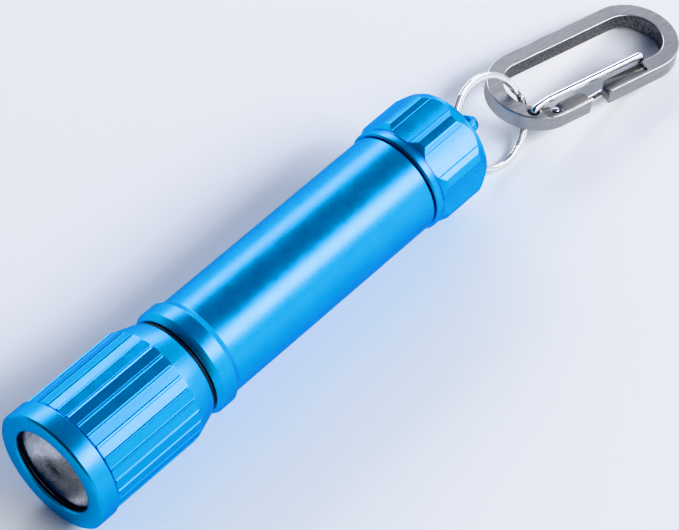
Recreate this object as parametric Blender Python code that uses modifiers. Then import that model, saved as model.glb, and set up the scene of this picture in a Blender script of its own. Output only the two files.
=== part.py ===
"""Keychain flashlight with a split ring and a wire-gate carabiner.

Metres, +Z up. The light lies on its side on z = 0 and shines towards -X.
Sizes are in millimetres. Stations along the light ("s") run from the front
face of the bezel to the tail, and radii are about the light's own axis.
"""

import math

import bmesh
import bpy
from mathutils import Matrix, Vector

MM = 0.001

# Placement: the box of the whole object is centred on the origin.
FRONT_X = -57.299
AXIS_Y = 0.697

# Driving dimensions of the light.
BAND_R = 8.8
LAND_R = 8.55
HEAD_REAR_R = 7.4
TUBE_R = 7.25
COLLAR_R = 7.8
CAP_R = 8.05
NECK_R = 6.3
THREAD_GAP = 0.2
CELL_R = 5.25
CELL_LENGTH = 44.5
CELL_FRONT = 18.5
BORE_R = CELL_R + THREAD_GAP

BEZEL_END = 3.0
TAPER_START = 17.6
HEAD_END = 21.3
COLLAR_START = 21.9
COLLAR_END = 25.9
TUBE_END = 62.85
CAP_START = 63.1
CAP_END = 73.6

HEAD_FLUTES = 30
HEAD_FLUTE_FLOOR = 8.4
HEAD_FLUTE_HALF = 4.7
HEAD_FLUTE_WALL = 0.7
HEAD_FLUTE_TURN = 7.5
CAP_FLUTES = 8
CAP_FLUTE_FLOOR = 7.45
CAP_FLUTE_HALF = 18.5
CAP_FLUTE_TURN = -3.0
LAND_MARGIN = 0.1

# The lug on the tail and the split ring in it.
LUG_END = 78.0
LUG_HALF_WIDTH = 2.5
LUG_THICK = 1.3
LUG_CORNER = 1.6
LUG_HOLE_S = 76.05
LUG_HOLE_R = 1.45
LUG_TURN = 30.0
RING_CENTRE = (81.475, -0.731, -2.991)
RING_LEAN = 32.0
RING_YAW = 3.8
RING_R = 6.28
RING_BAND = 0.84
RING_COIL = 0.4
RING_PITCH = 0.46
RING_TURNS = 2
RING_HELD_AT = -10.4

# The carabiner: a flat stadium with an opening, and a wire gate.
PLATE_TOP = (99.43, -2.11, -4.30)
PLATE_YAW = -9.7
PLATE_PITCH = 7.7
PLATE_ROLL = 0.6
PLATE_THICK = 2.45
PLATE_OUTER_R = 6.62
PLATE_INNER_R = 4.33
PLATE_HALF = 8.82
PLATE_EDGE = 0.18
GAP_NEAR = -4.0
GAP_FAR = -0.7
PAD_DEPTH = 0.3
PAD_NEAR = -11.4
PAD_FAR = 6.6
PAD_RIM = 0.4
STUB_CORNER = 0.9
WIRE_R = 0.5
GATE_HOLE = (-12.4, -3.95)
LOWER_HOLE = (-9.15, -4.95)
HOLE_R = 0.72
GATE_UP = 0.4
GATE_DOWN = -2.88
GATE_TOP_V = -3.55
GATE_NOSE = (7.3, -3.6)

STEPS = 48


# ---------------------------------------------------------------- basics

def collection(name):
    made = bpy.data.collections.new(name)
    bpy.context.scene.collection.children.link(made)
    return made


def material(name, colour, roughness, metallic):
    made = bpy.data.materials.new(name)
    made.use_nodes = True
    shader = made.node_tree.nodes["Principled BSDF"]
    shader.inputs["Base Color"].default_value = (*colour, 1.0)
    shader.inputs["Roughness"].default_value = roughness
    shader.inputs["Metallic"].default_value = metallic
    return made


def metres(*values):
    return Vector([value * MM for value in values])


def place(obj, home, parent=None, location=(0, 0, 0), rotation=(0, 0, 0)):
    """Link an object; location in millimetres and rotation in degrees."""
    home.objects.link(obj)
    obj.parent = parent
    obj.location = metres(*location)
    obj.rotation_euler = [math.radians(angle) for angle in rotation]
    return obj


def pivot(name, parent=None, location=(0, 0, 0), rotation=(0, 0, 0)):
    empty = bpy.data.objects.new(name, None)
    empty.empty_display_size = 0.004
    return place(empty, PARTS, parent, location, rotation)


def keep_place(child, parent):
    """Parent an object and leave it where it is."""
    bpy.context.view_layer.update()
    child.parent = parent
    child.matrix_parent_inverse = parent.matrix_world.inverted() @ LIGHT.matrix_world


def guide(obj):
    """Keep a cutter, or another helper shape, out of the object itself."""
    for home in obj.users_collection:
        home.objects.unlink(obj)
    CUTTERS.objects.link(obj)
    obj.hide_render = True
    obj.display_type = "WIRE"
    return obj


def boolean(obj, cutter, operation="DIFFERENCE"):
    step = obj.modifiers.new(operation.title(), "BOOLEAN")
    step.operation = operation
    step.solver = "EXACT"
    step.object = guide(cutter)


def bevel(obj, width, segments=1, angle=50.0):
    step = obj.modifiers.new("Edges", "BEVEL")
    step.width = width * MM
    step.segments = segments
    step.limit_method = "ANGLE"
    step.angle_limit = math.radians(angle)


# ------------------------------------------------------------ shape makers

def turned(name, profile, parent, look, steps=STEPS):
    """Turn a list of (station, radius) about local Z.

    The profile runs down the outer side from the highest station. It closes
    on itself, unless both its ends are on the axis.
    """
    count = len(profile)
    on_axis = profile[0][1] == 0 and profile[-1][1] == 0
    edges = [(i, i + 1) for i in range(count - 1)]
    if not on_axis:
        edges.append((count - 1, 0))
    mesh = bpy.data.meshes.new(name)
    mesh.from_pydata([(r * MM, 0, s * MM) for s, r in profile], edges, [])
    mesh.materials.append(look)
    obj = place(bpy.data.objects.new(name, mesh), PARTS, parent)
    screw = obj.modifiers.new("Turn", "SCREW")
    screw.axis = "Z"
    screw.steps = steps
    screw.render_steps = steps
    screw.use_smooth_shade = True
    screw.use_merge_vertices = True
    screw.merge_threshold = 0.000001
    return obj


def ring_profile(station, radius, section, points=8):
    """A round section at a station and radius, for an O-ring."""
    turns = [2 * math.pi * i / points for i in range(points)]
    return [(station - section * math.sin(a), radius + section * math.cos(a)) for a in turns]


def curve_object(name, points, look, cyclic=False, flat=False):
    data = bpy.data.curves.new(name, "CURVE")
    data.dimensions = "2D" if flat else "3D"
    data.render_resolution_u = 0
    spline = data.splines.new("POLY")
    spline.points.add(len(points) - 1)
    for point, place_mm in zip(spline.points, points):
        point.co = (*metres(*place_mm), 1.0)
    spline.use_cyclic_u = cyclic
    if look:
        data.materials.append(look)
    return bpy.data.objects.new(name, data)


def wire(name, points, radius, parent, look):
    obj = curve_object(name, points, look)
    obj.data.bevel_depth = radius * MM
    obj.data.bevel_resolution = 2
    obj.data.use_fill_caps = True
    return place(obj, PARTS, parent)


def as_mesh(obj):
    """Replace a curve object by a welded mesh object in the same place."""
    bpy.context.view_layer.update()
    seen = obj.evaluated_get(bpy.context.evaluated_depsgraph_get())
    mesh = bpy.data.meshes.new_from_object(seen)
    work = bmesh.new()
    work.from_mesh(mesh)
    bmesh.ops.remove_doubles(work, verts=work.verts, dist=0.000001)
    work.to_mesh(mesh)
    work.free()
    name = obj.name
    solid = bpy.data.objects.new(name, mesh)
    for home in obj.users_collection:
        home.objects.link(solid)
    solid.parent = obj.parent
    solid.matrix_world = obj.matrix_world
    bpy.data.objects.remove(obj)
    solid.name = name
    return solid


def slab(name, outline, low, high, parent, look=None):
    """Extrude a flat outline between two heights of its own local Z."""
    points = [(x, y, 0) for x, y in outline]
    obj = curve_object(name, points, look, cyclic=True, flat=True)
    obj.data.fill_mode = "BOTH"
    obj.data.extrude = (high - low) / 2 * MM
    place(obj, PARTS, parent, (0, 0, (high + low) / 2))
    return as_mesh(obj)


def arc(centre, radius, start, end, steps):
    """Points on an arc, angles in degrees."""
    points = []
    for i in range(steps + 1):
        angle = math.radians(start + (end - start) * i / steps)
        points.append((centre[0] + radius * math.cos(angle), centre[1] + radius * math.sin(angle)))
    return points


def rounded_path(points, radius, steps=4):
    """A path through corner points, each inner corner turned into a bend."""
    corners = [Vector(point) for point in points]
    path = [corners[0]]
    for before, corner, after in zip(corners, corners[1:], corners[2:]):
        into = (corner - before).normalized()
        away = (after - corner).normalized()
        reach = radius * math.tan(into.angle(away) / 2)
        start = corner - into * reach
        end = corner + away * reach
        for i in range(steps + 1):
            t = i / steps
            path.append((1 - t) ** 2 * start + 2 * t * (1 - t) * corner + t ** 2 * end)
    path.append(corners[-1])
    return path


def coil_points(start, end, start_r, end_r, turns, per_turn=12):
    """A cylindrical or conical coil about local Z."""
    count = round(turns * per_turn)
    points = []
    for i in range(count + 1):
        t = i / count
        angle = 2 * math.pi * turns * t
        radius = start_r + (end_r - start_r) * t
        height = start + (end - start) * t
        points.append((radius * math.cos(angle), radius * math.sin(angle), height))
    return points


def scooped_outline(count, land_r, floor_r, half_angle, steps):
    """A round outline with scooped flutes, a little outside the lands."""
    half = math.radians(half_angle)
    rise = land_r * math.cos(half) - floor_r
    reach = land_r * math.sin(half)
    scoop_r = (rise ** 2 + reach ** 2) / (2 * rise)
    centre = floor_r + scoop_r
    outer = land_r + LAND_MARGIN
    open_to = math.acos((centre ** 2 + scoop_r ** 2 - outer ** 2) / (2 * centre * scoop_r))
    outline = []
    for flute in range(count):
        turn = 2 * math.pi * flute / count
        for i in range(steps + 1):
            angle = open_to * (2 * i / steps - 1)
            x = centre - scoop_r * math.cos(angle)
            y = scoop_r * math.sin(angle)
            outline.append((
                x * math.cos(turn) - y * math.sin(turn),
                x * math.sin(turn) + y * math.cos(turn),
            ))
    return outline


def slotted_outline(count, land_r, floor_r, half_angle, wall_angle):
    """A round outline with flat-bottomed flutes, a little outside the lands."""
    half = math.radians(half_angle)
    wall = math.radians(wall_angle)
    floor_end = floor_r / math.cos(half)
    top = land_r + LAND_MARGIN
    edge = half + wall * (top - floor_end) / (land_r - floor_end)
    outline = []
    for flute in range(count):
        turn = 2 * math.pi * flute / count
        for angle, radius in ((-edge, top), (-half, floor_end), (half, floor_end), (edge, top)):
            outline.append((radius * math.cos(turn + angle), radius * math.sin(turn + angle)))
    return outline


def drill(name, centre, radius, low, high, parent, sides=24):
    """A round cutter along local Z."""
    mesh = bpy.data.meshes.new(name)
    work = bmesh.new()
    bmesh.ops.create_cone(
        work, cap_ends=True, segments=sides, radius1=radius * MM, radius2=radius * MM,
        depth=(high - low) * MM)
    work.to_mesh(mesh)
    work.free()
    obj = bpy.data.objects.new(name, mesh)
    return place(obj, PARTS, parent, (*centre, (high + low) / 2))


def box(name, size, centre, parent, look):
    mesh = bpy.data.meshes.new(name)
    work = bmesh.new()
    bmesh.ops.create_cube(work, size=1.0, matrix=Matrix.Diagonal((*metres(*size), 1.0)))
    work.to_mesh(mesh)
    work.free()
    mesh.materials.append(look)
    return place(bpy.data.objects.new(name, mesh), PARTS, parent, centre)


# ----------------------------------------------------------------- the head

def make_bezel(parent):
    spigot_end = BEZEL_END + 3.1
    turned("bezel_ring", [
        (spigot_end, 7.3), (BEZEL_END, 7.3), (BEZEL_END, BAND_R - 0.15), (BEZEL_END - 0.15, BAND_R),
        (0.3, BAND_R), (0.0, 8.5), (0.0, 6.45), (0.15, 6.25), (0.32, 6.2), (0.32, 6.9),
        (spigot_end, 6.9),
    ], parent, BLUE, 64)
    turned("lens_oring", ring_profile(0.57, 6.4, 0.19), parent, RUBBER, 32)
    turned("lens", [(2.2, 0), (2.2, 6.75), (0.84, 6.75), (0.84, 0)], parent, GLASS, 32)


def make_reflector(parent):
    rim_r, throat_r, rim_s, throat_s = 6.3, 3.0, 2.4, 5.4
    bowl = []
    for i in range(9):
        r = rim_r + (throat_r - rim_r) * i / 8
        bowl.append((throat_s - (throat_s - rim_s) * (r ** 2 - throat_r ** 2)
                     / (rim_r ** 2 - throat_r ** 2), r))
    outer = [(throat_s, 3.9), (3.2, 6.75), (rim_s, 6.75)]
    turned("reflector", outer + bowl, parent, MIRROR, 32)


def make_light_engine(parent):
    """The emitter on its board, the heat sink behind it, and the driver."""
    turned("led_board", [(6.95, 0), (6.95, 6.2), (6.3, 6.2), (6.3, 0)], parent, BOARD_WHITE, 32)
    box("led_package", (5.0, 5.0, 0.5), (0, 0, 5.9), parent, LED_WHITE)
    dome = [(5.55 - 1.1 * math.sin(a), 1.1 * math.cos(a))
            for a in [math.pi / 2 * i / 5 for i in range(5)]]
    turned("led_dome", [(5.55, 0)] + dome + [(4.45, 0)], parent, GLASS, 20)

    sink = turned("heat_sink", [
        (12.6, 0), (12.6, 4.6), (17.1, 4.6), (17.1, 5.2), (14.05, 5.2), (14.05, 6.8),
        (7.15, 6.8), (7.15, 0),
    ], parent, SINK, 40)
    for side, colour in ((1, RED), (-1, BLACK)):
        hole = drill("wire_bore_%d" % side, (side * 2.6, 0), 0.7, 6.5, 13.5, parent, 12)
        boolean(sink, hole)
        label = "positive" if side > 0 else "negative"
        wire("led_wire_" + label, [(side * 2.6, 0, 7.25), (side * 2.6, 0, 15.5)],
             0.35, parent, colour)

    turned("driver_board", [(16.6, 0), (16.6, 4.3), (15.8, 4.3), (15.8, 0)], parent, BOARD_GREEN, 32)
    turned("driver_inductor", [(15.5, 0), (15.5, 1.4), (13.6, 1.4), (13.6, 0)],
           parent, BLACK, 20).location += metres(0, 2.3, 0)
    box("driver_chip", (2.0, 1.6, 0.8), (0, -2.3, 15.1), parent, BLACK)


def make_head_shell(parent):
    front = BEZEL_END + 0.25
    thread_start = 14.6
    shell = turned("head_shell", [
        (HEAD_END, 7.2), (HEAD_END - 0.2, HEAD_REAR_R), (TAPER_START, LAND_R), (front, LAND_R),
        (front, 7.55), (6.4, 7.55), (6.4, 6.95), (thread_start, 6.95),
        (thread_start, NECK_R + THREAD_GAP), (HEAD_END, NECK_R + THREAD_GAP),
    ], parent, BLUE, 60)
    outline = slotted_outline(
        HEAD_FLUTES, LAND_R, HEAD_FLUTE_FLOOR, HEAD_FLUTE_HALF, HEAD_FLUTE_WALL)
    flutes = slab("head_flutes", outline, front - 1, HEAD_END + 1, parent)
    flutes.rotation_euler.z += math.radians(HEAD_FLUTE_TURN)
    boolean(shell, flutes, "INTERSECT")


# ----------------------------------------------------------------- the body

def make_body(parent):
    turned("body_tube", [
        (68.6, 6.1), (68.4, NECK_R), (TUBE_END, NECK_R), (TUBE_END, 7.1), (TUBE_END - 0.15, TUBE_R),
        (COLLAR_END, TUBE_R), (24.9, COLLAR_R), (22.9, COLLAR_R), (COLLAR_START, 7.3),
        (COLLAR_START, NECK_R), (14.6, NECK_R), (14.4, 6.1), (14.4, BORE_R), (68.6, BORE_R),
    ], parent, BLUE, 64)
    turned("head_oring", ring_profile(21.6, 6.8, 0.26), parent, RUBBER, 40)


def make_cell(parent):
    nub_end = CELL_FRONT + 1.0
    rear = CELL_FRONT + CELL_LENGTH
    turned("cell_positive_cap", [
        (nub_end, 0), (nub_end, 1.85), (CELL_FRONT + 0.15, 1.85), (CELL_FRONT, 1.7), (CELL_FRONT, 0),
    ], parent, NICKEL, 24)
    turned("cell_seal", [
        (nub_end + 1.2, 0), (nub_end + 1.2, 4.75), (nub_end + 0.3, 4.75), (nub_end + 0.3, 0),
    ], parent, BLACK, 32)
    turned("cell_can", [
        (rear, 0), (rear, 4.5), (rear - 0.3, 4.8), (nub_end + 1.5, 4.8), (nub_end + 1.5, 0),
    ], parent, NICKEL, 32)
    turned("cell_sleeve", [
        (rear - 0.5, CELL_R), (nub_end + 0.1, CELL_R), (nub_end + 0.1, 5.0), (rear - 0.5, 5.0),
    ], parent, SLEEVE, 40)


# ----------------------------------------------------------------- the tail

def make_tail_contact(parent):
    rear = CELL_FRONT + CELL_LENGTH
    wire("tail_spring", coil_points(rear + 0.5, 68.9, 2.2, 4.0, 4), 0.28, parent, STEEL)
    turned("tail_contact", [(69.95, 0), (69.95, 4.8), (69.4, 4.8), (69.4, 0)], parent, BRASS, 32)


def make_cap(parent, lug_parent):
    cap = turned("tail_cap", [
        (CAP_END, 0), (CAP_END, 6.7), (73.3, 7.1), (72.8, 7.2), (72.7, 7.45), (71.5, CAP_R),
        (65.3, CAP_R), (64.45, 7.6), (64.35, 7.35), (64.1, 7.35), (64.0, 7.6), (63.3, 7.6),
        (CAP_START, 7.4), (CAP_START, NECK_R + THREAD_GAP), (69.0, NECK_R + THREAD_GAP),
        (69.0, 5.1), (70.25, 5.1), (70.25, 0),
    ], parent, BLUE, 64)
    outline = scooped_outline(CAP_FLUTES, CAP_R, CAP_FLUTE_FLOOR, CAP_FLUTE_HALF, 8)
    flutes = slab("cap_flutes", outline, CAP_START - 1, CAP_END + 1, parent)
    flutes.rotation_euler.z += math.radians(CAP_FLUTE_TURN)
    # The skirt in front of the flutes stays round.
    skirt = drill("cap_skirt", (0, 0), CAP_R + 1, CAP_START - 2, 64.2, parent, 48)
    boolean(flutes, skirt, "UNION")
    boolean(cap, flutes, "INTERSECT")
    boolean(cap, make_lug(lug_parent), "UNION")
    boolean(cap, make_lug_hole(lug_parent))


def lug_rotation():
    """Local X runs across the lug, Y along the light and Z through its hole."""
    lean = math.radians(LUG_TURN)
    across = Vector((0, -math.cos(lean), math.sin(lean)))
    along = Vector((1, 0, 0))
    return Matrix((across, along, across.cross(along))).transposed().to_euler()


def make_lug(parent):
    """A flat tab with round corners, sunk into the cap; the hole is at 0, 0."""
    root = CAP_END - 1.5 - LUG_HOLE_S
    corner_y = LUG_END - LUG_HOLE_S - LUG_CORNER
    corner_x = LUG_HALF_WIDTH - LUG_CORNER
    outline = [(LUG_HALF_WIDTH, root)]
    outline += arc((corner_x, corner_y), LUG_CORNER, 0, 90, 6)
    outline += arc((-corner_x, corner_y), LUG_CORNER, 90, 180, 6)
    outline.append((-LUG_HALF_WIDTH, root))
    lug = slab("lug", outline, -LUG_THICK / 2, LUG_THICK / 2, parent)
    bevel(lug, 0.3, 2)
    return lug


def make_lug_hole(parent):
    """A bore that flares at both faces, so that the ring can lean in it."""
    flare = LUG_THICK / 2 + 0.2
    return turned("lug_hole", [
        (flare, 0), (flare, LUG_HOLE_R + 0.5), (0.25, LUG_HOLE_R), (-0.25, LUG_HOLE_R),
        (-flare, LUG_HOLE_R + 0.5), (-flare, 0),
    ], parent, BLUE, 24)


# ------------------------------------------------------- ring and carabiner

def make_split_ring(parent):
    """Two turns of flat wire, a hair apart, about local Z."""
    height = RING_PITCH * RING_TURNS / 2
    coil = curve_object(
        "split_ring", coil_points(-height, height, RING_R, RING_R, RING_TURNS, 40), CHROME)
    section = curve_object("ring_section", [
        (RING_BAND / 2 * math.cos(a), -RING_COIL / 2 * math.sin(a), 0)
        for a in [2 * math.pi * i / 8 for i in range(8)]
    ], None, cyclic=True, flat=True)
    place(section, CUTTERS, parent)
    guide(section)
    coil.data.bevel_mode = "OBJECT"
    coil.data.bevel_object = section
    coil.data.use_fill_caps = True
    coil.data.twist_mode = "Z_UP"
    place(coil, PARTS, parent)


def stadium_c(outer, inner, half, near, far, corner, steps=12):
    """The outline of a stadium ring, cut open on its -Y side."""
    outline = [(far, -outer)]
    outline += arc((half, 0), outer, -90, 90, steps * 2)
    outline += arc((-half, 0), outer, 90, 270, steps * 2)
    outline.append((near, -outer))
    outline += arc((near - corner, -inner - corner), corner, 0, 90, 4)
    outline += arc((-half, 0), inner, 270, 90, steps * 2)
    outline += arc((half, 0), inner, 90, -90, steps * 2)
    outline += arc((far + corner, -inner - corner), corner, 90, 180, 4)
    return outline


def make_carabiner(parent):
    outline = stadium_c(
        PLATE_OUTER_R, PLATE_INNER_R, PLATE_HALF, GAP_NEAR, GAP_FAR, STUB_CORNER)
    plate = slab("carabiner_frame", outline, -PLATE_THICK, 0, parent, STAINLESS)
    bevel(plate, PLATE_EDGE)
    for label, low, high in (("near", PAD_NEAR, GAP_NEAR + 1), ("far", GAP_FAR - 1, PAD_FAR)):
        width = PLATE_OUTER_R - PAD_RIM - 3.0
        middle = ((low + high) / 2, width / 2 - PLATE_OUTER_R + PAD_RIM)
        for side, centre in (("top", 0.0), ("under", -PLATE_THICK)):
            pad = box("pad_%s_%s" % (label, side), (high - low, width, 2 * PAD_DEPTH),
                      (*middle, centre), parent, STAINLESS)
            boolean(plate, pad)
    for label, centre in (("gate", GATE_HOLE), ("lower", LOWER_HOLE)):
        boolean(plate, drill("hole_" + label, centre, HOLE_R, -4.0, 1.5, parent))
    notch = drill("nose_notch", (GATE_NOSE[0], GATE_NOSE[1] + 0.1), WIRE_R + 0.4, -4.0, 1.5, parent)
    boolean(plate, notch)
    wire("gate_lower_end", [
        (*LOWER_HOLE, GATE_DOWN + WIRE_R + 0.25), (*LOWER_HOLE, -PAD_DEPTH - 0.1),
    ], WIRE_R, parent, CHROME)


def make_gate(parent):
    """One bent wire: down into its hole, along, round the nose and back."""
    hole = Vector((*GATE_HOLE, 0))
    stations = [
        (*GATE_HOLE, -PLATE_THICK + 0.4), (*GATE_HOLE, GATE_UP),
        (-9.6, GATE_TOP_V, GATE_UP), (*GATE_NOSE, GATE_UP), (*GATE_NOSE, GATE_DOWN),
        (LOWER_HOLE[0] - 0.2, LOWER_HOLE[1], GATE_DOWN),
    ]
    path = [Vector(point) - hole for point in rounded_path(stations, 0.75)]
    wire("carabiner_gate", path, WIRE_R, parent, CHROME)


# ------------------------------------------------------------------ assembly

for old in list(bpy.data.objects):
    bpy.data.objects.remove(old)

PARTS = collection("keychain_flashlight")
CUTTERS = collection("cutters")

BLUE = material("blue_anodised", (0.0, 0.36, 0.78), 0.32, 1.0)
GLASS = material("clear_lens", (0.8, 0.82, 0.85), 0.05, 0.0)
MIRROR = material("reflector_metal", (0.85, 0.85, 0.86), 0.08, 1.0)
RUBBER = material("black_rubber", (0.015, 0.015, 0.017), 0.6, 0.0)
BOARD_WHITE = material("led_board_white", (0.8, 0.8, 0.78), 0.5, 0.0)
BOARD_GREEN = material("driver_board_green", (0.02, 0.2, 0.08), 0.5, 0.0)
LED_WHITE = material("led_package_white", (0.86, 0.84, 0.74), 0.5, 0.0)
SINK = material("machined_aluminium", (0.7, 0.7, 0.71), 0.35, 1.0)
BRASS = material("brass", (0.75, 0.55, 0.2), 0.3, 1.0)
STEEL = material("spring_steel", (0.6, 0.6, 0.6), 0.25, 1.0)
NICKEL = material("nickel_plate", (0.7, 0.7, 0.68), 0.25, 1.0)
SLEEVE = material("cell_sleeve_grey", (0.2, 0.21, 0.23), 0.4, 0.0)
BLACK = material("black_plastic", (0.02, 0.02, 0.02), 0.5, 0.0)
RED = material("red_insulation", (0.6, 0.03, 0.03), 0.5, 0.0)
CHROME = material("polished_steel", (0.85, 0.85, 0.86), 0.07, 1.0)
STAINLESS = material("brushed_stainless", (0.52, 0.52, 0.54), 0.35, 1.0)

# In the light's frame x is the station, and y and z are about its axis.
LIGHT = pivot("light_frame", None, (FRONT_X, AXIS_Y, BAND_R))
# On these, local Z is the light's axis, from front to tail.
BODY = pivot("body_axis", LIGHT, (0, 0, 0), (0, 90, 0))
HEAD = pivot("head_axis", LIGHT, (0, 0, 0), (0, 90, 0))
CAP = pivot("cap_axis", LIGHT, (0, 0, 0), (0, 90, 0))
# The split ring swings on the lug's hole.
LUG = pivot("lug_hole_axis", LIGHT, (LUG_HOLE_S, 0, 0))
LUG.rotation_euler = lug_rotation()
RING = pivot("ring_centre", LIGHT, RING_CENTRE, (90 - RING_LEAN, 0, RING_YAW))
# The carabiner swings about the wire of the ring, where the ring holds it.
HELD = pivot("carabiner_axis", RING, (
    RING_R * math.cos(math.radians(RING_HELD_AT)), RING_R * math.sin(math.radians(RING_HELD_AT)), 0))
PLATE = pivot("carabiner_plate", LIGHT, PLATE_TOP, (PLATE_ROLL, PLATE_PITCH, PLATE_YAW))
GATE = pivot("gate_axis", PLATE, (*GATE_HOLE, 0))
keep_place(LUG, CAP)
keep_place(RING, LUG)
keep_place(PLATE, HELD)

make_bezel(HEAD)
make_reflector(HEAD)
make_light_engine(HEAD)
make_head_shell(HEAD)
wire("contact_spring", coil_points(16.95, 18.15, 2.4, 1.4, 2), 0.2, HEAD, STEEL)
make_body(BODY)
make_cell(BODY)
make_tail_contact(CAP)
make_cap(CAP, LUG)
make_split_ring(RING)
make_carabiner(PLATE)
make_gate(GATE)
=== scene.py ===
"""Looks for the keychain flashlight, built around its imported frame.

Sizes are in millimetres and turned into metres as meshes are made. In the
light's own frame x is the station, from the bezel's front face to the tail,
and y and z are about the light's axis.
"""
import math

import bmesh
import bpy
from mathutils import Euler, Matrix, Vector


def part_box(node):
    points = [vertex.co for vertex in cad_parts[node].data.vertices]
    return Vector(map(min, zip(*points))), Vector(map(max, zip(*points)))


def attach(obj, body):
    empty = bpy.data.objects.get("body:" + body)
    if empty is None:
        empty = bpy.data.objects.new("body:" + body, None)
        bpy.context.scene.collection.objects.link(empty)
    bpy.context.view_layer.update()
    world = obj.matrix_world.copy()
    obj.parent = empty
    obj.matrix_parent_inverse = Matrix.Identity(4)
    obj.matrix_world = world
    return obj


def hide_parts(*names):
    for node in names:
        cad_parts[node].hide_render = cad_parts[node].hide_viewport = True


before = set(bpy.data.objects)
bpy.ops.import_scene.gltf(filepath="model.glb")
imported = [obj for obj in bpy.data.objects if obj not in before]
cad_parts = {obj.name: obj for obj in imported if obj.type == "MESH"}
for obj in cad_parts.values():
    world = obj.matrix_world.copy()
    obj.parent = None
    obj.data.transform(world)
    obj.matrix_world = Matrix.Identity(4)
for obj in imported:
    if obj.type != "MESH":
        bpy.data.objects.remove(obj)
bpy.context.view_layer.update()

MM = 0.001

# The same stations and radii as the CAD's.
BAND_R = 8.8
LAND_R = 8.55
HEAD_FLOOR_R = 8.4
HEAD_REAR_R = 7.4
TUBE_R = 7.25
COLLAR_R = 7.8
CAP_R = 8.05
BORE_R = 5.45
THREADED_BORE_R = 6.5
LENS_R = 6.75
BEZEL_END = 3.0
NECK_FRONT = 14.4
TAPER_START = 17.6
HEAD_END = 21.3
COLLAR_START = 21.9
COLLAR_END = 25.9
TUBE_END = 62.85
NECK_REAR = 68.6
CAP_START = 63.1
CAP_END = 73.6
# The cap's flutes: full height between two stations, sloping down to two more.
CAP_RIM_R = 7.6
CAP_FLOOR_R = 7.45
CAP_FRONT_FOOT = 64.45
CAP_FRONT = 65.3
CAP_REAR = 71.5
CAP_REAR_FOOT = 72.7
LUG_HOLE_S = 76.05

# Almost all of a noise's values lie between these.
NOISE_LOW = 0.3
NOISE_HIGH = 0.7

# Thread of both necks.
PITCH = 1.0
THREAD_CREST = 6.42
THREAD_ROOT = 6.02

# The thin line cut along each side of the cap's flutes: degrees, and its depth.
SCRIBED_AT = 12.5
SCRIBED_HALF = 0.55
SCRIBED_DEPTH = 0.03

HEAD_FLUTES = 30
CAP_FLUTES = 8
HEAD_COLUMNS = HEAD_FLUTES * 36
CAP_COLUMNS = CAP_FLUTES * 90
ROUND_COLUMNS = 192
LENS_COLUMNS = 144

# The split ring: its middle and tilt in the light's frame, and its wire.
RING_CENTRE = (81.475, -0.731, -2.991)
RING_TILT = (58.0, 0.0, 3.8)
RING_R = 6.28
RING_BAND = 0.84
RING_COIL = 0.4
RING_PITCH = 0.46

# The carabiner: its top face's middle and tilt, and its outline and pads.
PLATE_TOP = (99.43, -2.11, -4.30)
PLATE_TILT = (0.6, 7.7, -9.7)
PLATE_THICK = 2.45
PLATE_OUTER_R = 6.62
PLATE_INNER_R = 4.33
PLATE_HALF = 8.82
GAP_NEAR = -4.0
GAP_FAR = -0.7
PAD_DEPTH = 0.3
PAD_RIM = 0.4
PAD_NEAR = -11.4
PAD_FAR = 6.6

# The wire gate: its two holes and its nose, on the carabiner's top face.
GATE_HOLE = (-12.4, -3.95)
LOWER_HOLE = (-9.15, -4.95)
GATE_NOSE = (7.3, -3.6)
WIRE_R = 0.5


# ------------------------------------------------------------------ frames

def tilted(degrees):
    return Euler([math.radians(angle) for angle in degrees]).to_matrix().to_4x4()


def frames():
    """The light's, lug's, ring's and plate's frames, from the CAD's boxes."""
    low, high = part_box("bezel_ring")
    light = Matrix.Translation((low.x, (low.y + high.y) / 2, (low.z + high.z) / 2))
    lean = math.radians(30)
    across = Vector((0, -math.cos(lean), math.sin(lean)))
    along = Vector((1, 0, 0))
    turn = Matrix((across, along, across.cross(along))).transposed().to_4x4()
    lug = light @ Matrix.Translation((LUG_HOLE_S * MM, 0, 0)) @ turn
    ring = light @ Matrix.Translation(Vector(RING_CENTRE) * MM) @ tilted(RING_TILT)
    plate = light @ Matrix.Translation(Vector(PLATE_TOP) * MM) @ tilted(PLATE_TILT)
    return light, lug, ring, plate


LIGHT, LUG, RING, PLATE = frames()


# --------------------------------------------------------------- materials

def ramp(tree, value, start, first, end, last):
    """A colour that goes from first to last as a value goes from start to end."""
    node = tree.nodes.new("ShaderNodeValToRGB")
    low, high = node.color_ramp.elements
    low.position, high.position = start, end
    low.color, high.color = (*first, 1.0), (*last, 1.0)
    tree.links.new(value, node.inputs["Fac"])
    return node.outputs["Color"]


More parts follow.
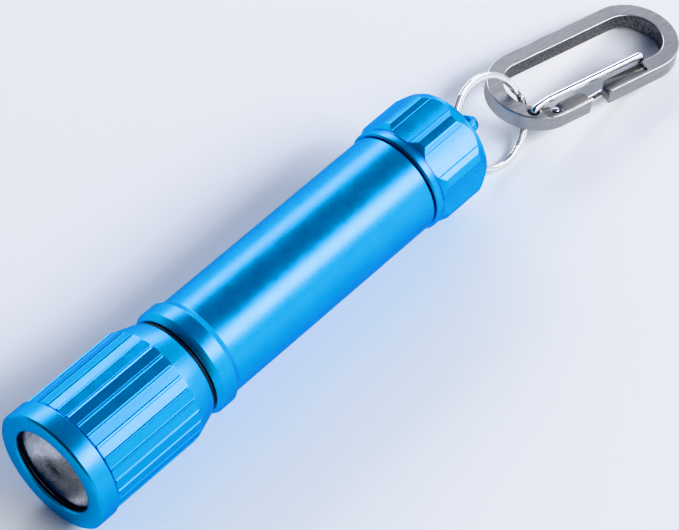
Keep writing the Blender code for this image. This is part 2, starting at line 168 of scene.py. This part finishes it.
class Look:
    """A node material, with short calls for the nodes used here."""

    def __init__(self, name, colour, roughness, metallic=0.0, home=None):
        self.material = bpy.data.materials.new(name)
        self.material.use_nodes = True
        self.tree = self.material.node_tree
        self.shader = self.tree.nodes["Principled BSDF"]
        self.set("Base Color", (*colour, 1.0))
        self.set("Roughness", roughness)
        self.set("Metallic", metallic)
        self.place = self.tree.nodes.new("ShaderNodeTexCoord").outputs["Object"]
        self.height = None
        if home:
            turn = self.tree.nodes.new("ShaderNodeMapping")
            turn.inputs["Rotation"].default_value = home.to_3x3().inverted().to_euler()
            self.link(self.place, turn.inputs["Vector"])
            self.place = turn.outputs["Vector"]

    def set(self, socket, value):
        self.shader.inputs[socket].default_value = value

    def link(self, output, target):
        self.tree.links.new(output, target)

    def noise(self, stretch, detail=2.0, roughness=0.5):
        """Noise whose grain is 1 / stretch millimetres along x, y and z."""
        scale = self.tree.nodes.new("ShaderNodeMapping")
        scale.inputs["Scale"].default_value = [value / MM for value in stretch]
        self.link(self.place, scale.inputs["Vector"])
        node = self.tree.nodes.new("ShaderNodeTexNoise")
        node.inputs["Scale"].default_value = 1.0
        node.inputs["Detail"].default_value = detail
        node.inputs["Roughness"].default_value = roughness
        self.link(scale.outputs["Vector"], node.inputs["Vector"])
        return node.outputs["Fac"]

    def colours(self, value, dark, light, start=NOISE_LOW, end=NOISE_HIGH):
        """The base colour as a blend of two colours by a noise value."""
        blend = ramp(self.tree, value, start, dark, end, light)
        self.link(blend, self.shader.inputs["Base Color"])

    def rough(self, value, low, high):
        """The roughness as a noise value spread from low to high."""
        node = self.tree.nodes.new("ShaderNodeMapRange")
        node.inputs["From Min"].default_value = NOISE_LOW
        node.inputs["From Max"].default_value = NOISE_HIGH
        node.inputs["To Min"].default_value = low
        node.inputs["To Max"].default_value = high
        self.link(value, node.inputs["Value"])
        self.link(node.outputs["Result"], self.shader.inputs["Roughness"])

    def bump(self, value, depth):
        """Relief of a depth in millimetres, on top of any relief so far."""
        node = self.tree.nodes.new("ShaderNodeBump")
        node.inputs["Strength"].default_value = 1.0
        node.inputs["Distance"].default_value = depth * MM
        self.link(value, node.inputs["Height"])
        if self.height:
            self.link(self.height, node.inputs["Normal"])
        self.height = node.outputs["Normal"]
        self.link(self.height, self.shader.inputs["Normal"])


def anodised():
    """Satin blue over turned metal, with faint rings of tooling."""
    look = Look("blue_anodised", (0.0, 0.38, 0.82), 0.3, 1.0)
    cloud = look.noise((0.25, 0.25, 0.25), 3.0)
    look.colours(cloud, (0.0, 0.41, 0.82), (0.002, 0.44, 0.86))
    look.rough(look.noise((0.6, 0.6, 0.6), 2.0), 0.26, 0.31)
    look.bump(look.noise((1.4, 0.06, 0.06), 1.0), 0.00015)
    look.set("Specular Tint", (0.1, 0.5, 0.85, 1.0))
    look.set("Coat Weight", 0.08)
    look.set("Coat Roughness", 0.2)
    return look.material


def brushed(name, dark, light, grain, low, high, depth, home=None):
    """Metal with streaks of grain, along x of the frame it is given."""
    look = Look(name, light, (low + high) / 2, 1.0, home)
    streaks = look.noise(grain, 4.0, 0.6)
    look.colours(streaks, dark, light, 0.35, 0.65)
    look.rough(streaks, low, high)
    look.bump(streaks, depth)
    return look.material


def polished(name, colour, roughness):
    look = Look(name, colour, roughness, 1.0)
    marks = look.noise((1.2, 1.2, 1.2), 5.0)
    look.rough(marks, roughness * 0.7, roughness * 1.5)
    look.bump(look.noise((5.0, 5.0, 5.0), 2.0), 0.0008)
    return look.material


def moulded(name, dark, light, roughness, grain=2.0, depth=0.003):
    look = Look(name, light, roughness)
    tooth = look.noise((grain, grain, grain), 4.0)
    look.colours(tooth, dark, light)
    look.rough(tooth, roughness * 0.85, roughness * 1.15)
    look.bump(tooth, depth)
    return look.material


def clear(name, tint, roughness):
    look = Look(name, tint, roughness)
    look.set("Transmission Weight", 1.0)
    look.set("IOR", 1.46)
    haze = look.noise((0.6, 0.6, 0.6), 3.0)
    look.rough(haze, roughness * 0.6, roughness * 1.4)
    return look.material


BLUE = anodised()
STEEL = brushed("brushed_stainless", (0.33, 0.33, 0.345), (0.5, 0.5, 0.515),
                (0.35, 9.0, 9.0), 0.3, 0.42, 0.004, PLATE)
PAD = brushed("brushed_pad", (0.16, 0.155, 0.15), (0.36, 0.355, 0.35),
              (0.25, 5.0, 5.0), 0.34, 0.5, 0.006, PLATE)
# The inner wall's darker colour is painted shade; only its rougher grain belongs to the metal.
INNER_WALL_SHADE = brushed("inner_wall_painted_shade", (0.12, 0.12, 0.122), (0.34, 0.34, 0.345),
                (3.0, 3.0, 3.0), 0.4, 0.55, 0.012)
CHROME = polished("polished_steel", (0.74, 0.745, 0.76), 0.06)
MIRROR = polished("reflector_metal", (0.66, 0.67, 0.72), 0.26)
GLASS = clear("clear_lens", (0.97, 0.98, 1.0), 0.02)
RUBBER = moulded("black_rubber", (0.008, 0.008, 0.009), (0.02, 0.02, 0.022), 0.5)
BOARD = moulded("led_board_white", (0.62, 0.62, 0.6), (0.82, 0.82, 0.8), 0.45)
GREEN = moulded("driver_board_green", (0.01, 0.12, 0.04), (0.02, 0.2, 0.08), 0.4)
LED = moulded("led_package_white", (0.8, 0.78, 0.7), (0.93, 0.92, 0.86), 0.4)
SINK = brushed("machined_aluminium", (0.55, 0.55, 0.56), (0.74, 0.74, 0.75),
               (7.0, 0.3, 0.3), 0.28, 0.42, 0.003)
BRASS = brushed("turned_brass", (0.6, 0.42, 0.14), (0.78, 0.58, 0.24),
                (7.0, 0.3, 0.3), 0.25, 0.4, 0.003)
SPRING = polished("spring_steel", (0.6, 0.6, 0.6), 0.2)
NICKEL = brushed("nickel_plate", (0.55, 0.55, 0.52), (0.72, 0.72, 0.7),
                 (3.0, 0.4, 0.4), 0.22, 0.35, 0.002)
SLEEVE = moulded("cell_sleeve_grey", (0.15, 0.16, 0.18), (0.24, 0.25, 0.27), 0.3)
BLACK = moulded("black_plastic", (0.012, 0.012, 0.012), (0.03, 0.03, 0.03), 0.45)
RED = moulded("red_insulation", (0.45, 0.02, 0.02), (0.62, 0.04, 0.04), 0.4)


# ----------------------------------------------------------- shape makers

def finish_mesh(name, mesh, home, look, angle=34.0):
    """Weld a mesh made in its own frame, and shade it smoothly up to an angle."""
    work = bmesh.new()
    work.from_mesh(mesh)
    work.transform(home)
    bmesh.ops.remove_doubles(work, verts=work.verts, dist=0.000002)
    bmesh.ops.dissolve_degenerate(work, edges=work.edges, dist=0.000001)
    bmesh.ops.recalc_face_normals(work, faces=work.faces)
    for face in work.faces:
        face.smooth = True
    for edge in work.edges:
        edge.smooth = edge.is_manifold and edge.calc_face_angle() < math.radians(angle)
    work.to_mesh(mesh)
    work.free()
    if look:
        mesh.materials.append(look)
    obj = bpy.data.objects.new(name, mesh)
    bpy.context.scene.collection.objects.link(obj)
    return obj


def skin(name, loops, home, look, cyclic=False, capped=False, angle=34.0):
    """Quads between closed loops of points; the loops may close on the first."""
    count = len(loops[0])
    points = [Vector(point) * MM for loop in loops for point in loop]
    last = len(loops) if cyclic else len(loops) - 1
    faces = []
    for row in range(last):
        here = row * count
        there = (row + 1) % len(loops) * count
        for i in range(count):
            j = (i + 1) % count
            faces.append((here + i, here + j, there + j, there + i))
    if capped:
        faces.append(tuple(range(count)))
        faces.append(tuple(range(len(points) - count, len(points))))
    mesh = bpy.data.meshes.new(name)
    mesh.from_pydata(points, [], faces)
    return finish_mesh(name, mesh, home, look, angle)


def soften(points, size, steps=3):
    """A closed list of (station, radius) with each corner rounded."""
    out = []
    count = len(points)
    for i in range(count):
        corner = Vector(points[i])
        back = Vector(points[i - 1]) - corner
        ahead = Vector(points[(i + 1) % count]) - corner
        start = corner + back * min(size / max(back.length, 1e-6), 0.4)
        end = corner + ahead * min(size / max(ahead.length, 1e-6), 0.4)
        for k in range(steps + 1):
            t = k / steps
            out.append((1 - t) ** 2 * start + 2 * t * (1 - t) * corner + t ** 2 * end)
    return out


def turned(name, outline, look, columns=ROUND_COLUMNS, round_by=0.06, steps=3):
    """Turn a closed outline, which may change with the angle, about x."""
    lines = []
    for i in range(columns):
        phi = 2 * math.pi * i / columns
        points = outline(phi) if callable(outline) else outline
        line = soften(points, round_by, steps) if round_by else points
        lines.append([(s, r * math.cos(phi), r * math.sin(phi)) for s, r in line])
    loops = [[line[row] for line in lines] for row in range(len(lines[0]))]
    return skin(name, loops, LIGHT, look, cyclic=True)


def round_section(station, radius, half):
    """The outline of a seal's round section."""
    turns = [2 * math.pi * i / 16 for i in range(16)]
    return [(station - half * math.sin(a), radius + half * math.cos(a)) for a in turns]


def rounded_min(value, other, blend):
    """The lesser of two values, with the corner between them rounded."""
    mix = max(blend - abs(value - other), 0.0) / blend
    return min(value, other) - mix * mix * blend / 4


def off_flute(phi, count, turn):
    """The angle from the nearest flute's middle.

    The CAD turns its flutes about an axis whose local x points down.
    """
    pitch = 2 * math.pi / count
    off = (phi + math.pi / 2 - math.radians(turn)) % pitch
    return min(off, pitch - off)


def slotted(count, land_r, floor_r, half_angle, wall_angle, turn, blend):
    """The radius of a ring of flat-bottomed flutes, as a function of the angle."""
    half = math.radians(half_angle)
    wall = math.radians(wall_angle)

    def radius(phi):
        off = off_flute(phi, count, turn)
        floor = floor_r / math.cos(min(off, half))
        rise = (land_r - floor_r / math.cos(half)) * (off - half) / wall
        return rounded_min(floor + max(rise, 0.0), land_r, blend)

    return radius


def scooped(count, land_r, floor_r, half_angle, turn, blend):
    """The radius of a ring of scooped flutes, as a function of the angle."""
    half = math.radians(half_angle)
    rise = land_r * math.cos(half) - floor_r
    reach = land_r * math.sin(half)
    scoop_r = (rise ** 2 + reach ** 2) / (2 * rise)
    centre = floor_r + scoop_r

    def radius(phi):
        off = off_flute(phi, count, turn)
        chord = math.sqrt(scoop_r ** 2 - (centre * math.sin(off)) ** 2)
        reached = centre * math.cos(off) - chord
        line = max(1 - abs(math.degrees(off) - SCRIBED_AT) / SCRIBED_HALF, 0.0)
        return rounded_min(reached, land_r, blend) - SCRIBED_DEPTH * line

    return radius


def applied(obj):
    """Replace an object's mesh by what its modifiers make of it."""
    bpy.context.view_layer.update()
    seen = obj.evaluated_get(bpy.context.evaluated_depsgraph_get())
    mesh = bpy.data.meshes.new_from_object(seen)
    cutters = [step.object for step in obj.modifiers if step.type == "BOOLEAN"]
    obj.modifiers.clear()
    obj.data = mesh
    for cutter in cutters:
        bpy.data.objects.remove(cutter)


def cut(obj, cutter):
    step = obj.modifiers.new("Cut", "BOOLEAN")
    step.operation = "DIFFERENCE"
    step.solver = "EXACT"
    step.object = cutter


def bevel(obj, width, segments):
    step = obj.modifiers.new("Edges", "BEVEL")
    step.width = width * MM
    step.segments = segments
    step.limit_method = "ANGLE"
    step.angle_limit = math.radians(40)


def even_normals(obj):
    """Keep the flat faces flat beside their rounded edges."""
    step = obj.modifiers.new("Normals", "WEIGHTED_NORMAL")
    step.weight = 80
    step.keep_sharp = True


def slab(name, outline, low, high, home, look):
    loops = [[(x, y, z) for x, y in outline] for z in (high, low)]
    return skin(name, loops, home, look, capped=True)


def cone(name, centre, stations, home, sides=48):
    """A round cutter through stations of (height, radius)."""
    loops = []
    for z, r in stations:
        turns = [2 * math.pi * i / sides for i in range(sides)]
        loops.append([(centre[0] + r * math.cos(a), centre[1] + r * math.sin(a), z)
                      for a in turns])
    return skin(name, loops, home, None, capped=True)


def arc(centre, radius, start, end, steps):
    points = []
    for i in range(steps + 1):
        angle = math.radians(start + (end - start) * i / steps)
        points.append((centre[0] + radius * math.cos(angle),
                       centre[1] + radius * math.sin(angle)))
    return points


def rounded_box(low, high, radius, steps=8):
    """A rectangle's outline with round corners, anticlockwise."""
    points = arc((high[0] - radius, high[1] - radius), radius, 0, 90, steps)
    points += arc((low[0] + radius, high[1] - radius), radius, 90, 180, steps)
    points += arc((low[0] + radius, low[1] + radius), radius, 180, 270, steps)
    points += arc((high[0] - radius, low[1] + radius), radius, 270, 360, steps)
    return points


def rounded_path(points, radius, steps=10):
    corners = [Vector(point) for point in points]
    path = [corners[0]]
    for before, corner, after in zip(corners, corners[1:], corners[2:]):
        into = (corner - before).normalized()
        away = (after - corner).normalized()
        reach = radius * math.tan(into.angle(away) / 2)
        for i in range(steps + 1):
            t = i / steps
            start, end = corner - into * reach, corner + away * reach
            path.append((1 - t) ** 2 * start + 2 * t * (1 - t) * corner + t ** 2 * end)
    path.append(corners[-1])
    return path


def wire(name, path, radius, home, look, sides=20):
    """A round wire along a path, its ends slightly domed."""
    normal = None
    loops = []
    for i, point in enumerate(path):
        ahead = (path[min(i + 1, len(path) - 1)] - path[max(i - 1, 0)]).normalized()
        if normal is None:
            normal = ahead.orthogonal().normalized()
        normal = (normal - ahead * normal.dot(ahead)).normalized()
        side = ahead.cross(normal)
        turns = [2 * math.pi * k / sides for k in range(sides)]
        rings = [(0.0, 1.0)]
        if i == 0:
            rings = [(0.0, 0.7), (0.1, 0.92), (0.25, 1.0)]
        if i == len(path) - 1:
            rings = [(-0.25, 1.0), (-0.1, 0.92), (0.0, 0.7)]
        for shift, share in rings:
            centre = point + ahead * shift * radius
            loops.append([centre + (normal * math.cos(a) + side * math.sin(a)) * radius * share
                          for a in turns])
    return skin(name, loops, home, look, capped=True, angle=50.0)


def stand_in(obj, body, slot, *nodes):
    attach(obj, body)
    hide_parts(*nodes)
    return obj


# ---------------------------------------------------------------- the light

def make_bezel():
    spigot_end = BEZEL_END + 3.1
    bezel = turned("bezel", [
        (spigot_end, 7.3), (BEZEL_END, 7.3),
        (BEZEL_END, BAND_R - 0.12), (BEZEL_END - 0.12, BAND_R),
        (0.28, BAND_R), (0.0, 8.52), (0.0, 6.45), (0.15, 6.25), (0.32, 6.2), (0.32, 6.9),
        (spigot_end, 6.9),
    ], BLUE, 240, 0.05)
    stand_in(bezel, "head", "blue_anodised", "bezel_ring")


def make_lens():
    seal = turned("lens_gasket", round_section(0.57, 6.4, 0.19), RUBBER, LENS_COLUMNS, 0)
    stand_in(seal, "head", "black_rubber", "lens_oring")
    front, rear = 0.84, 2.2
    lens = turned("lens_disc", [(rear, 0), (rear, LENS_R), (front, LENS_R), (front, 0)],
                  GLASS, LENS_COLUMNS, 0.1)
    stand_in(lens, "head", "clear_lens", "lens")
    rim_r, throat_r, rim_s, throat_s = 6.3, 3.0, 2.4, 5.4
    steps = 32
    bowl = []
    for i in range(steps + 1):
        r = rim_r + (throat_r - rim_r) * i / steps
        share = (r ** 2 - throat_r ** 2) / (rim_r ** 2 - throat_r ** 2)
        bowl.append((throat_s - (throat_s - rim_s) * share, r))
    outer = [(throat_s, 3.9), (3.2, LENS_R), (rim_s, LENS_R)]
    reflector = turned("reflector_bowl", outer + bowl, MIRROR, LENS_COLUMNS, 0)
    stand_in(reflector, "head", "reflector_metal", "reflector")


def make_head():
    front = BEZEL_END + 0.25
    radius = slotted(HEAD_FLUTES, LAND_R, HEAD_FLOOR_R, 4.7, 0.7, 7.5, 0.02)
    slope = (LAND_R - HEAD_REAR_R) / (HEAD_END - 0.2 - TAPER_START)

    def outline(phi):
        r = radius(phi)
        flute_end = TAPER_START + (LAND_R - r) / slope
        return [
            (HEAD_END, 7.2), (HEAD_END - 0.2, HEAD_REAR_R), (flute_end, r), (front + 0.1, r),
            (front, r - 0.1), (front, 7.55), (6.4, 7.55), (6.4, 6.95), (14.6, 6.95),
            (14.6, THREADED_BORE_R), (HEAD_END, THREADED_BORE_R),
        ]

    head = turned("head_body", outline, BLUE, HEAD_COLUMNS, 0.05)
    stand_in(head, "head", "blue_anodised", "head_shell")


def thread(start, end, phi):
    """Points along a right-hand thread, from end down to start."""
    steps = round((end - start) * 12)
    points = []
    for i in range(steps + 1):
        s = end + (start - end) * i / steps
        wave = 0.5 + 0.5 * math.cos(2 * math.pi * (s / PITCH - phi / (2 * math.pi)))
        fade = min((s - start) / 0.8, (end - s) / 0.8, 1.0)
        height = min(max(wave * 1.5 - 0.25, 0.0), 1.0) * fade
        points.append((s, THREAD_ROOT + (THREAD_CREST - THREAD_ROOT) * height))
    return points


def make_tube():
    def outline(phi):
        tail = thread(TUBE_END + 0.6, NECK_REAR - 0.2, phi)
        neck = thread(NECK_FRONT + 0.2, COLLAR_START - 0.9, phi)
        return (
            [(NECK_REAR, 5.9)] + tail + [
                (TUBE_END + 0.3, THREAD_ROOT), (TUBE_END, 6.1), (TUBE_END, 7.1),
                (TUBE_END - 0.13, TUBE_R), (COLLAR_END + 0.05, TUBE_R),
                (COLLAR_END - 0.1, TUBE_R + 0.06), (24.95, COLLAR_R),
                (22.85, COLLAR_R), (COLLAR_START, 7.3), (COLLAR_START, 6.5),
            ] + neck + [(NECK_FRONT, 5.9), (NECK_FRONT, BORE_R), (NECK_REAR, BORE_R)]
        )

    tube = turned("battery_tube", outline, BLUE, 216, 0.04, 2)
    stand_in(tube, "body", "blue_anodised", "body_tube")
    seal = turned("head_gasket", round_section(21.6, 6.8, 0.26), RUBBER, LENS_COLUMNS, 0)
    stand_in(seal, "body", "black_rubber", "head_oring")


def make_cap():
    radius = scooped(CAP_FLUTES, CAP_R, CAP_FLOOR_R, 18.5, -3.0, 0.05)
    front_slope = (CAP_R - CAP_RIM_R) / (CAP_FRONT - CAP_FRONT_FOOT)
    rear_slope = (CAP_R - CAP_FLOOR_R) / (CAP_REAR_FOOT - CAP_REAR)

    def outline(phi):
        r = radius(phi)
        front = CAP_FRONT - (CAP_R - r) / front_slope
        rear = CAP_REAR + (CAP_R - r) / rear_slope
        return [
            (CAP_END, 0), (CAP_END, 6.7), (73.3, 7.1), (72.85, 7.2),
            (max(rear, CAP_REAR_FOOT), min(CAP_FLOOR_R, r)), (rear, r),
            (max(front, CAP_FRONT_FOOT + 0.01), r), (CAP_FRONT_FOOT, min(CAP_RIM_R, r)),
            (64.36, 7.33), (64.12, 7.33), (64.02, CAP_RIM_R), (63.28, CAP_RIM_R),
            (CAP_START, 7.42), (CAP_START, THREADED_BORE_R),
            (69.0, THREADED_BORE_R), (69.0, 5.1), (70.25, 5.1), (70.25, 0),
        ]

    cap = turned("cap_body", outline, BLUE, CAP_COLUMNS, 0.05)
    stand_in(cap, "cap", "blue_anodised", "tail_cap")


def make_lug():
    half, corner, thick = 2.5, 1.6, 0.65
    root, tip = CAP_END - 0.4 - LUG_HOLE_S, 78.0 - LUG_HOLE_S
    outline = [(half, root)]
    outline += arc((half - corner, tip - corner), corner, 0, 90, 16)
    outline += arc((corner - half, tip - corner), corner, 90, 180, 16)
    outline.append((-half, root))
    lug = slab("tail_lug", outline, -thick, thick, LUG, BLUE)
    bevel(lug, 0.28, 4)
    flare = thick + 0.2
    mouth = [(flare, 1.98), (0.55, 1.66), (0.25, 1.47)]
    throat = [(0.0, 1.45)]
    cut(lug, cone("lug_cutter", (0, 0), mouth + throat + [(-z, r) for z, r in mouth[::-1]], LUG))
    applied(lug)
    even_normals(lug)
    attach(lug, "cap")


# ------------------------------------------------------ ring and carabiner

def boxed(value):
    """A sine or cosine pushed outwards, for a section between round and square."""
    return math.copysign(abs(value) ** 0.6, value)


def make_ring():
    """Two turns of flattened wire, a hair apart, with eased ends."""
    steps = 160
    loops = []
    for i in range(2 * steps + 1):
        turn = i / steps
        angle = 2 * math.pi * turn
        height = RING_PITCH * (turn - 1)
        ease = min(1.0, 0.55 + min(i, 2 * steps - i) * 0.15)
        loop = []
        for k in range(20):
            a = 2 * math.pi * k / 20
            out = boxed(math.cos(a)) * RING_BAND / 2 * ease
            up = boxed(math.sin(a)) * RING_COIL / 2 * ease
            r = RING_R + out
            loop.append((r * math.cos(angle), r * math.sin(angle), height + up))
        loops.append(loop)
    ring = skin("key_ring", loops, RING, CHROME, capped=True, angle=60.0)
    stand_in(ring, "ring", "polished_steel", "split_ring")


def plate_outline():
    """A stadium's ring, cut open on one side, its stubs' inner corners round."""
    steps = 56
    corner = 0.9
    points = [(GAP_FAR, -PLATE_OUTER_R)]
    points += arc((PLATE_HALF, 0), PLATE_OUTER_R, -90, 90, steps)
    points += arc((-PLATE_HALF, 0), PLATE_OUTER_R, 90, 270, steps)
    points.append((GAP_NEAR, -PLATE_OUTER_R))
    points += arc((GAP_NEAR - corner, -PLATE_INNER_R - corner), corner, 0, 90, 10)
    points += arc((-PLATE_HALF, 0), PLATE_INNER_R, 270, 90, steps)
    points += arc((PLATE_HALF, 0), PLATE_INNER_R, 90, -90, steps)
    points += arc((GAP_FAR + corner, -PLATE_INNER_R - corner), corner, 90, 180, 10)
    return points


def paint_plate(plate):
    """Darker brushing on the recessed pads, and painted shade on the rougher inner wall."""
    margin = 0.05
    plate.data.materials.append(PAD)
    plate.data.materials.append(INNER_WALL_SHADE)
    to_plate = PLATE.inverted()
    for face in plate.data.polygons:
        centre = to_plate @ face.center / MM
        up = abs((to_plate.to_3x3() @ face.normal).z)
        reach = math.hypot(max(abs(centre.x) - PLATE_HALF, 0.0), centre.y)
        if up > 0.9 and margin - PLATE_THICK < centre.z < -margin:
            face.material_index = 1
        # Faces on the inner wall take the darker colour: painted shade.
        if up < 0.3 and reach < PLATE_INNER_R + margin:
            face.material_index = 2


def make_plate():
    plate = slab("carabiner_plate", plate_outline(), -PLATE_THICK, 0, PLATE, STEEL)
    bevel(plate, 0.17, 3)
    rim = PAD_RIM - PLATE_OUTER_R
    pads = (("near", PAD_NEAR, GAP_NEAR + 2.0), ("far", GAP_FAR - 2.0, PAD_FAR))
    for side, height in (("top", 0.0), ("under", -PLATE_THICK)):
        for label, low, high in pads:
            outline = rounded_box((low, rim), (high, -3.0), 0.5)
            cut(plate, slab("pad_%s_%s" % (label, side), outline,
                            height - PAD_DEPTH, height + PAD_DEPTH, PLATE, None))
    cut(plate, cone("gate_hole_cutter", GATE_HOLE, [
        (1.0, 1.0), (0.0, 0.92), (-0.2, 0.74), (-3.5, 0.74)], PLATE))
    cut(plate, cone("lower_hole_cutter", LOWER_HOLE, [
        (1.0, 1.02), (-PAD_DEPTH, 1.02), (-PAD_DEPTH - 0.28, 0.74), (-3.5, 0.74)], PLATE))
    u, v = GATE_NOSE
    notch = rounded_box((u - 0.95, v - 0.85), (u + 0.95, -2.0), 0.8)
    cut(plate, slab("notch_cutter", notch, -4.0, 1.0, PLATE, None))
    applied(plate)
    paint_plate(plate)
    even_normals(plate)
    stand_in(plate, "carabiner", "brushed_stainless", "carabiner_frame")


def make_gate():
    """One bent wire and, as a piece of its own, its lower end in its hole."""
    down = -2.88
    path = rounded_path([
        (*GATE_HOLE, -PLATE_THICK + 0.4), (*GATE_HOLE, 0.4), (-9.6, -3.55, 0.4), (*GATE_NOSE, 0.4),
        (*GATE_NOSE, down), (LOWER_HOLE[0] - 0.2, LOWER_HOLE[1], down),
    ], 0.75)
    gate = wire("wire_gate", path, WIRE_R, PLATE, CHROME)
    stand_in(gate, "gate", "polished_steel", "carabiner_gate")
    end = [Vector((*LOWER_HOLE, down + WIRE_R + 0.25)), Vector((*LOWER_HOLE, -1.2)),
           Vector((*LOWER_HOLE, -PAD_DEPTH - 0.1))]
    stub = wire("wire_gate_end", end, WIRE_R, PLATE, CHROME)
    stand_in(stub, "carabiner", "polished_steel", "gate_lower_end")


# -------------------------------------------------------------- CAD nodes

KEPT = {
    "led_board": BOARD, "led_package": LED, "led_dome": GLASS, "heat_sink": SINK,
    "led_wire_positive": RED, "led_wire_negative": BLACK, "driver_board": GREEN,
    "driver_inductor": BLACK, "driver_chip": BLACK, "contact_spring": SPRING,
    "cell_positive_cap": NICKEL, "cell_seal": BLACK, "cell_can": NICKEL, "cell_sleeve": SLEEVE,
    "tail_spring": SPRING, "tail_contact": BRASS,
}


def dress_kept_nodes():
    for name, look in KEPT.items():
        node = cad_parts[name]
        node.data.materials.clear()
        node.data.materials.append(look)


# ------------------------------------------------------------------ studio

def area_light(name, aim, size, radiance):
    """A soft panel that shines at the object from a metre away."""
    data = bpy.data.lights.new(name, "AREA")
    data.shape = "RECTANGLE"
    data.size, data.size_y = size
    data.energy = radiance * math.pi * size[0] * size[1]
    obj = bpy.data.objects.new(name, data)
    bpy.context.scene.collection.objects.link(obj)
    away = Vector(aim).normalized()
    obj.location = away
    side = Vector((1, 0, 0))
    side = (side - away * side.dot(away)).normalized()
    obj.rotation_euler = Matrix((side, away.cross(side), away)).transposed().to_euler()


def make_world():
    """Pale all round and dark blue above, but dark on one side too.

    The dark side puts the black lines in the polished metal.
    """
    world = bpy.data.worlds.new("studio")
    world.use_nodes = True
    tree = world.node_tree
    place = tree.nodes.new("ShaderNodeTexCoord")
    split = tree.nodes.new("ShaderNodeSeparateXYZ")
    tree.links.new(place.outputs["Generated"], split.inputs["Vector"])
    above = ramp(tree, split.outputs["Z"], 0.4, (0.95, 0.96, 0.98), 0.72, (0.15, 0.19, 0.33))
    shift = tree.nodes.new("ShaderNodeMath")
    shift.operation = "ADD"
    shift.inputs[1].default_value = 0.6
    tree.links.new(split.outputs["X"], shift.inputs[0])
    beside = ramp(tree, shift.outputs["Value"], 0.0, (0.05, 0.05, 0.055), 0.2, (1, 1, 1))
    both = tree.nodes.new("ShaderNodeVectorMath")
    both.operation = "MULTIPLY"
    tree.links.new(above, both.inputs[0])
    tree.links.new(beside, both.inputs[1])
    tree.links.new(both.outputs["Vector"], tree.nodes["Background"].inputs["Color"])
    bpy.context.scene.world = world


def make_floor():
    reach = 3.0
    corners = [(-reach, -reach, 0), (reach, -reach, 0), (reach, reach, 0), (-reach, reach, 0)]
    mesh = bpy.data.meshes.new("floor")
    mesh.from_pydata(corners, [], [(0, 1, 2, 3)])
    mesh.materials.append(Look("floor", (0.94, 0.94, 0.94), 0.7).material)
    floor = bpy.data.objects.new("floor", mesh)
    bpy.context.scene.collection.objects.link(floor)
    floor.location.z = -0.0001


def make_camera():
    """The photograph's view, fitted to the outlines of the light's metal."""
    data = bpy.data.cameras.new("camera")
    data.sensor_width = 36.0
    data.lens = 185.3
    data.clip_start, data.clip_end = 0.01, 20.0
    camera = bpy.data.objects.new("camera", data)
    bpy.context.scene.collection.objects.link(camera)
    right = (0.67404, -0.73869, 0.0)
    up = (0.57509, 0.52476, 0.62762)
    back = (-0.46362, -0.42304, 0.77852)
    place = Matrix.Translation((-0.2171, -0.19292, 0.35767))
    camera.matrix_world = place @ Matrix((right, up, back)).transposed().to_4x4()
    bpy.context.scene.camera = camera
    bpy.context.scene.view_settings.view_transform = "Khronos PBR Neutral"


make_bezel()
make_lens()
make_head()
make_tube()
make_cap()
make_lug()
make_ring()
make_plate()
make_gate()
dress_kept_nodes()
area_light("key_panel", (0.46, -0.66, 0.59), (1.1, 0.36), 9.0)
area_light("far_panel", (0.46, 0.76, 0.46), (1.1, 0.3), 5.0)
make_world()
make_floor()
make_camera()
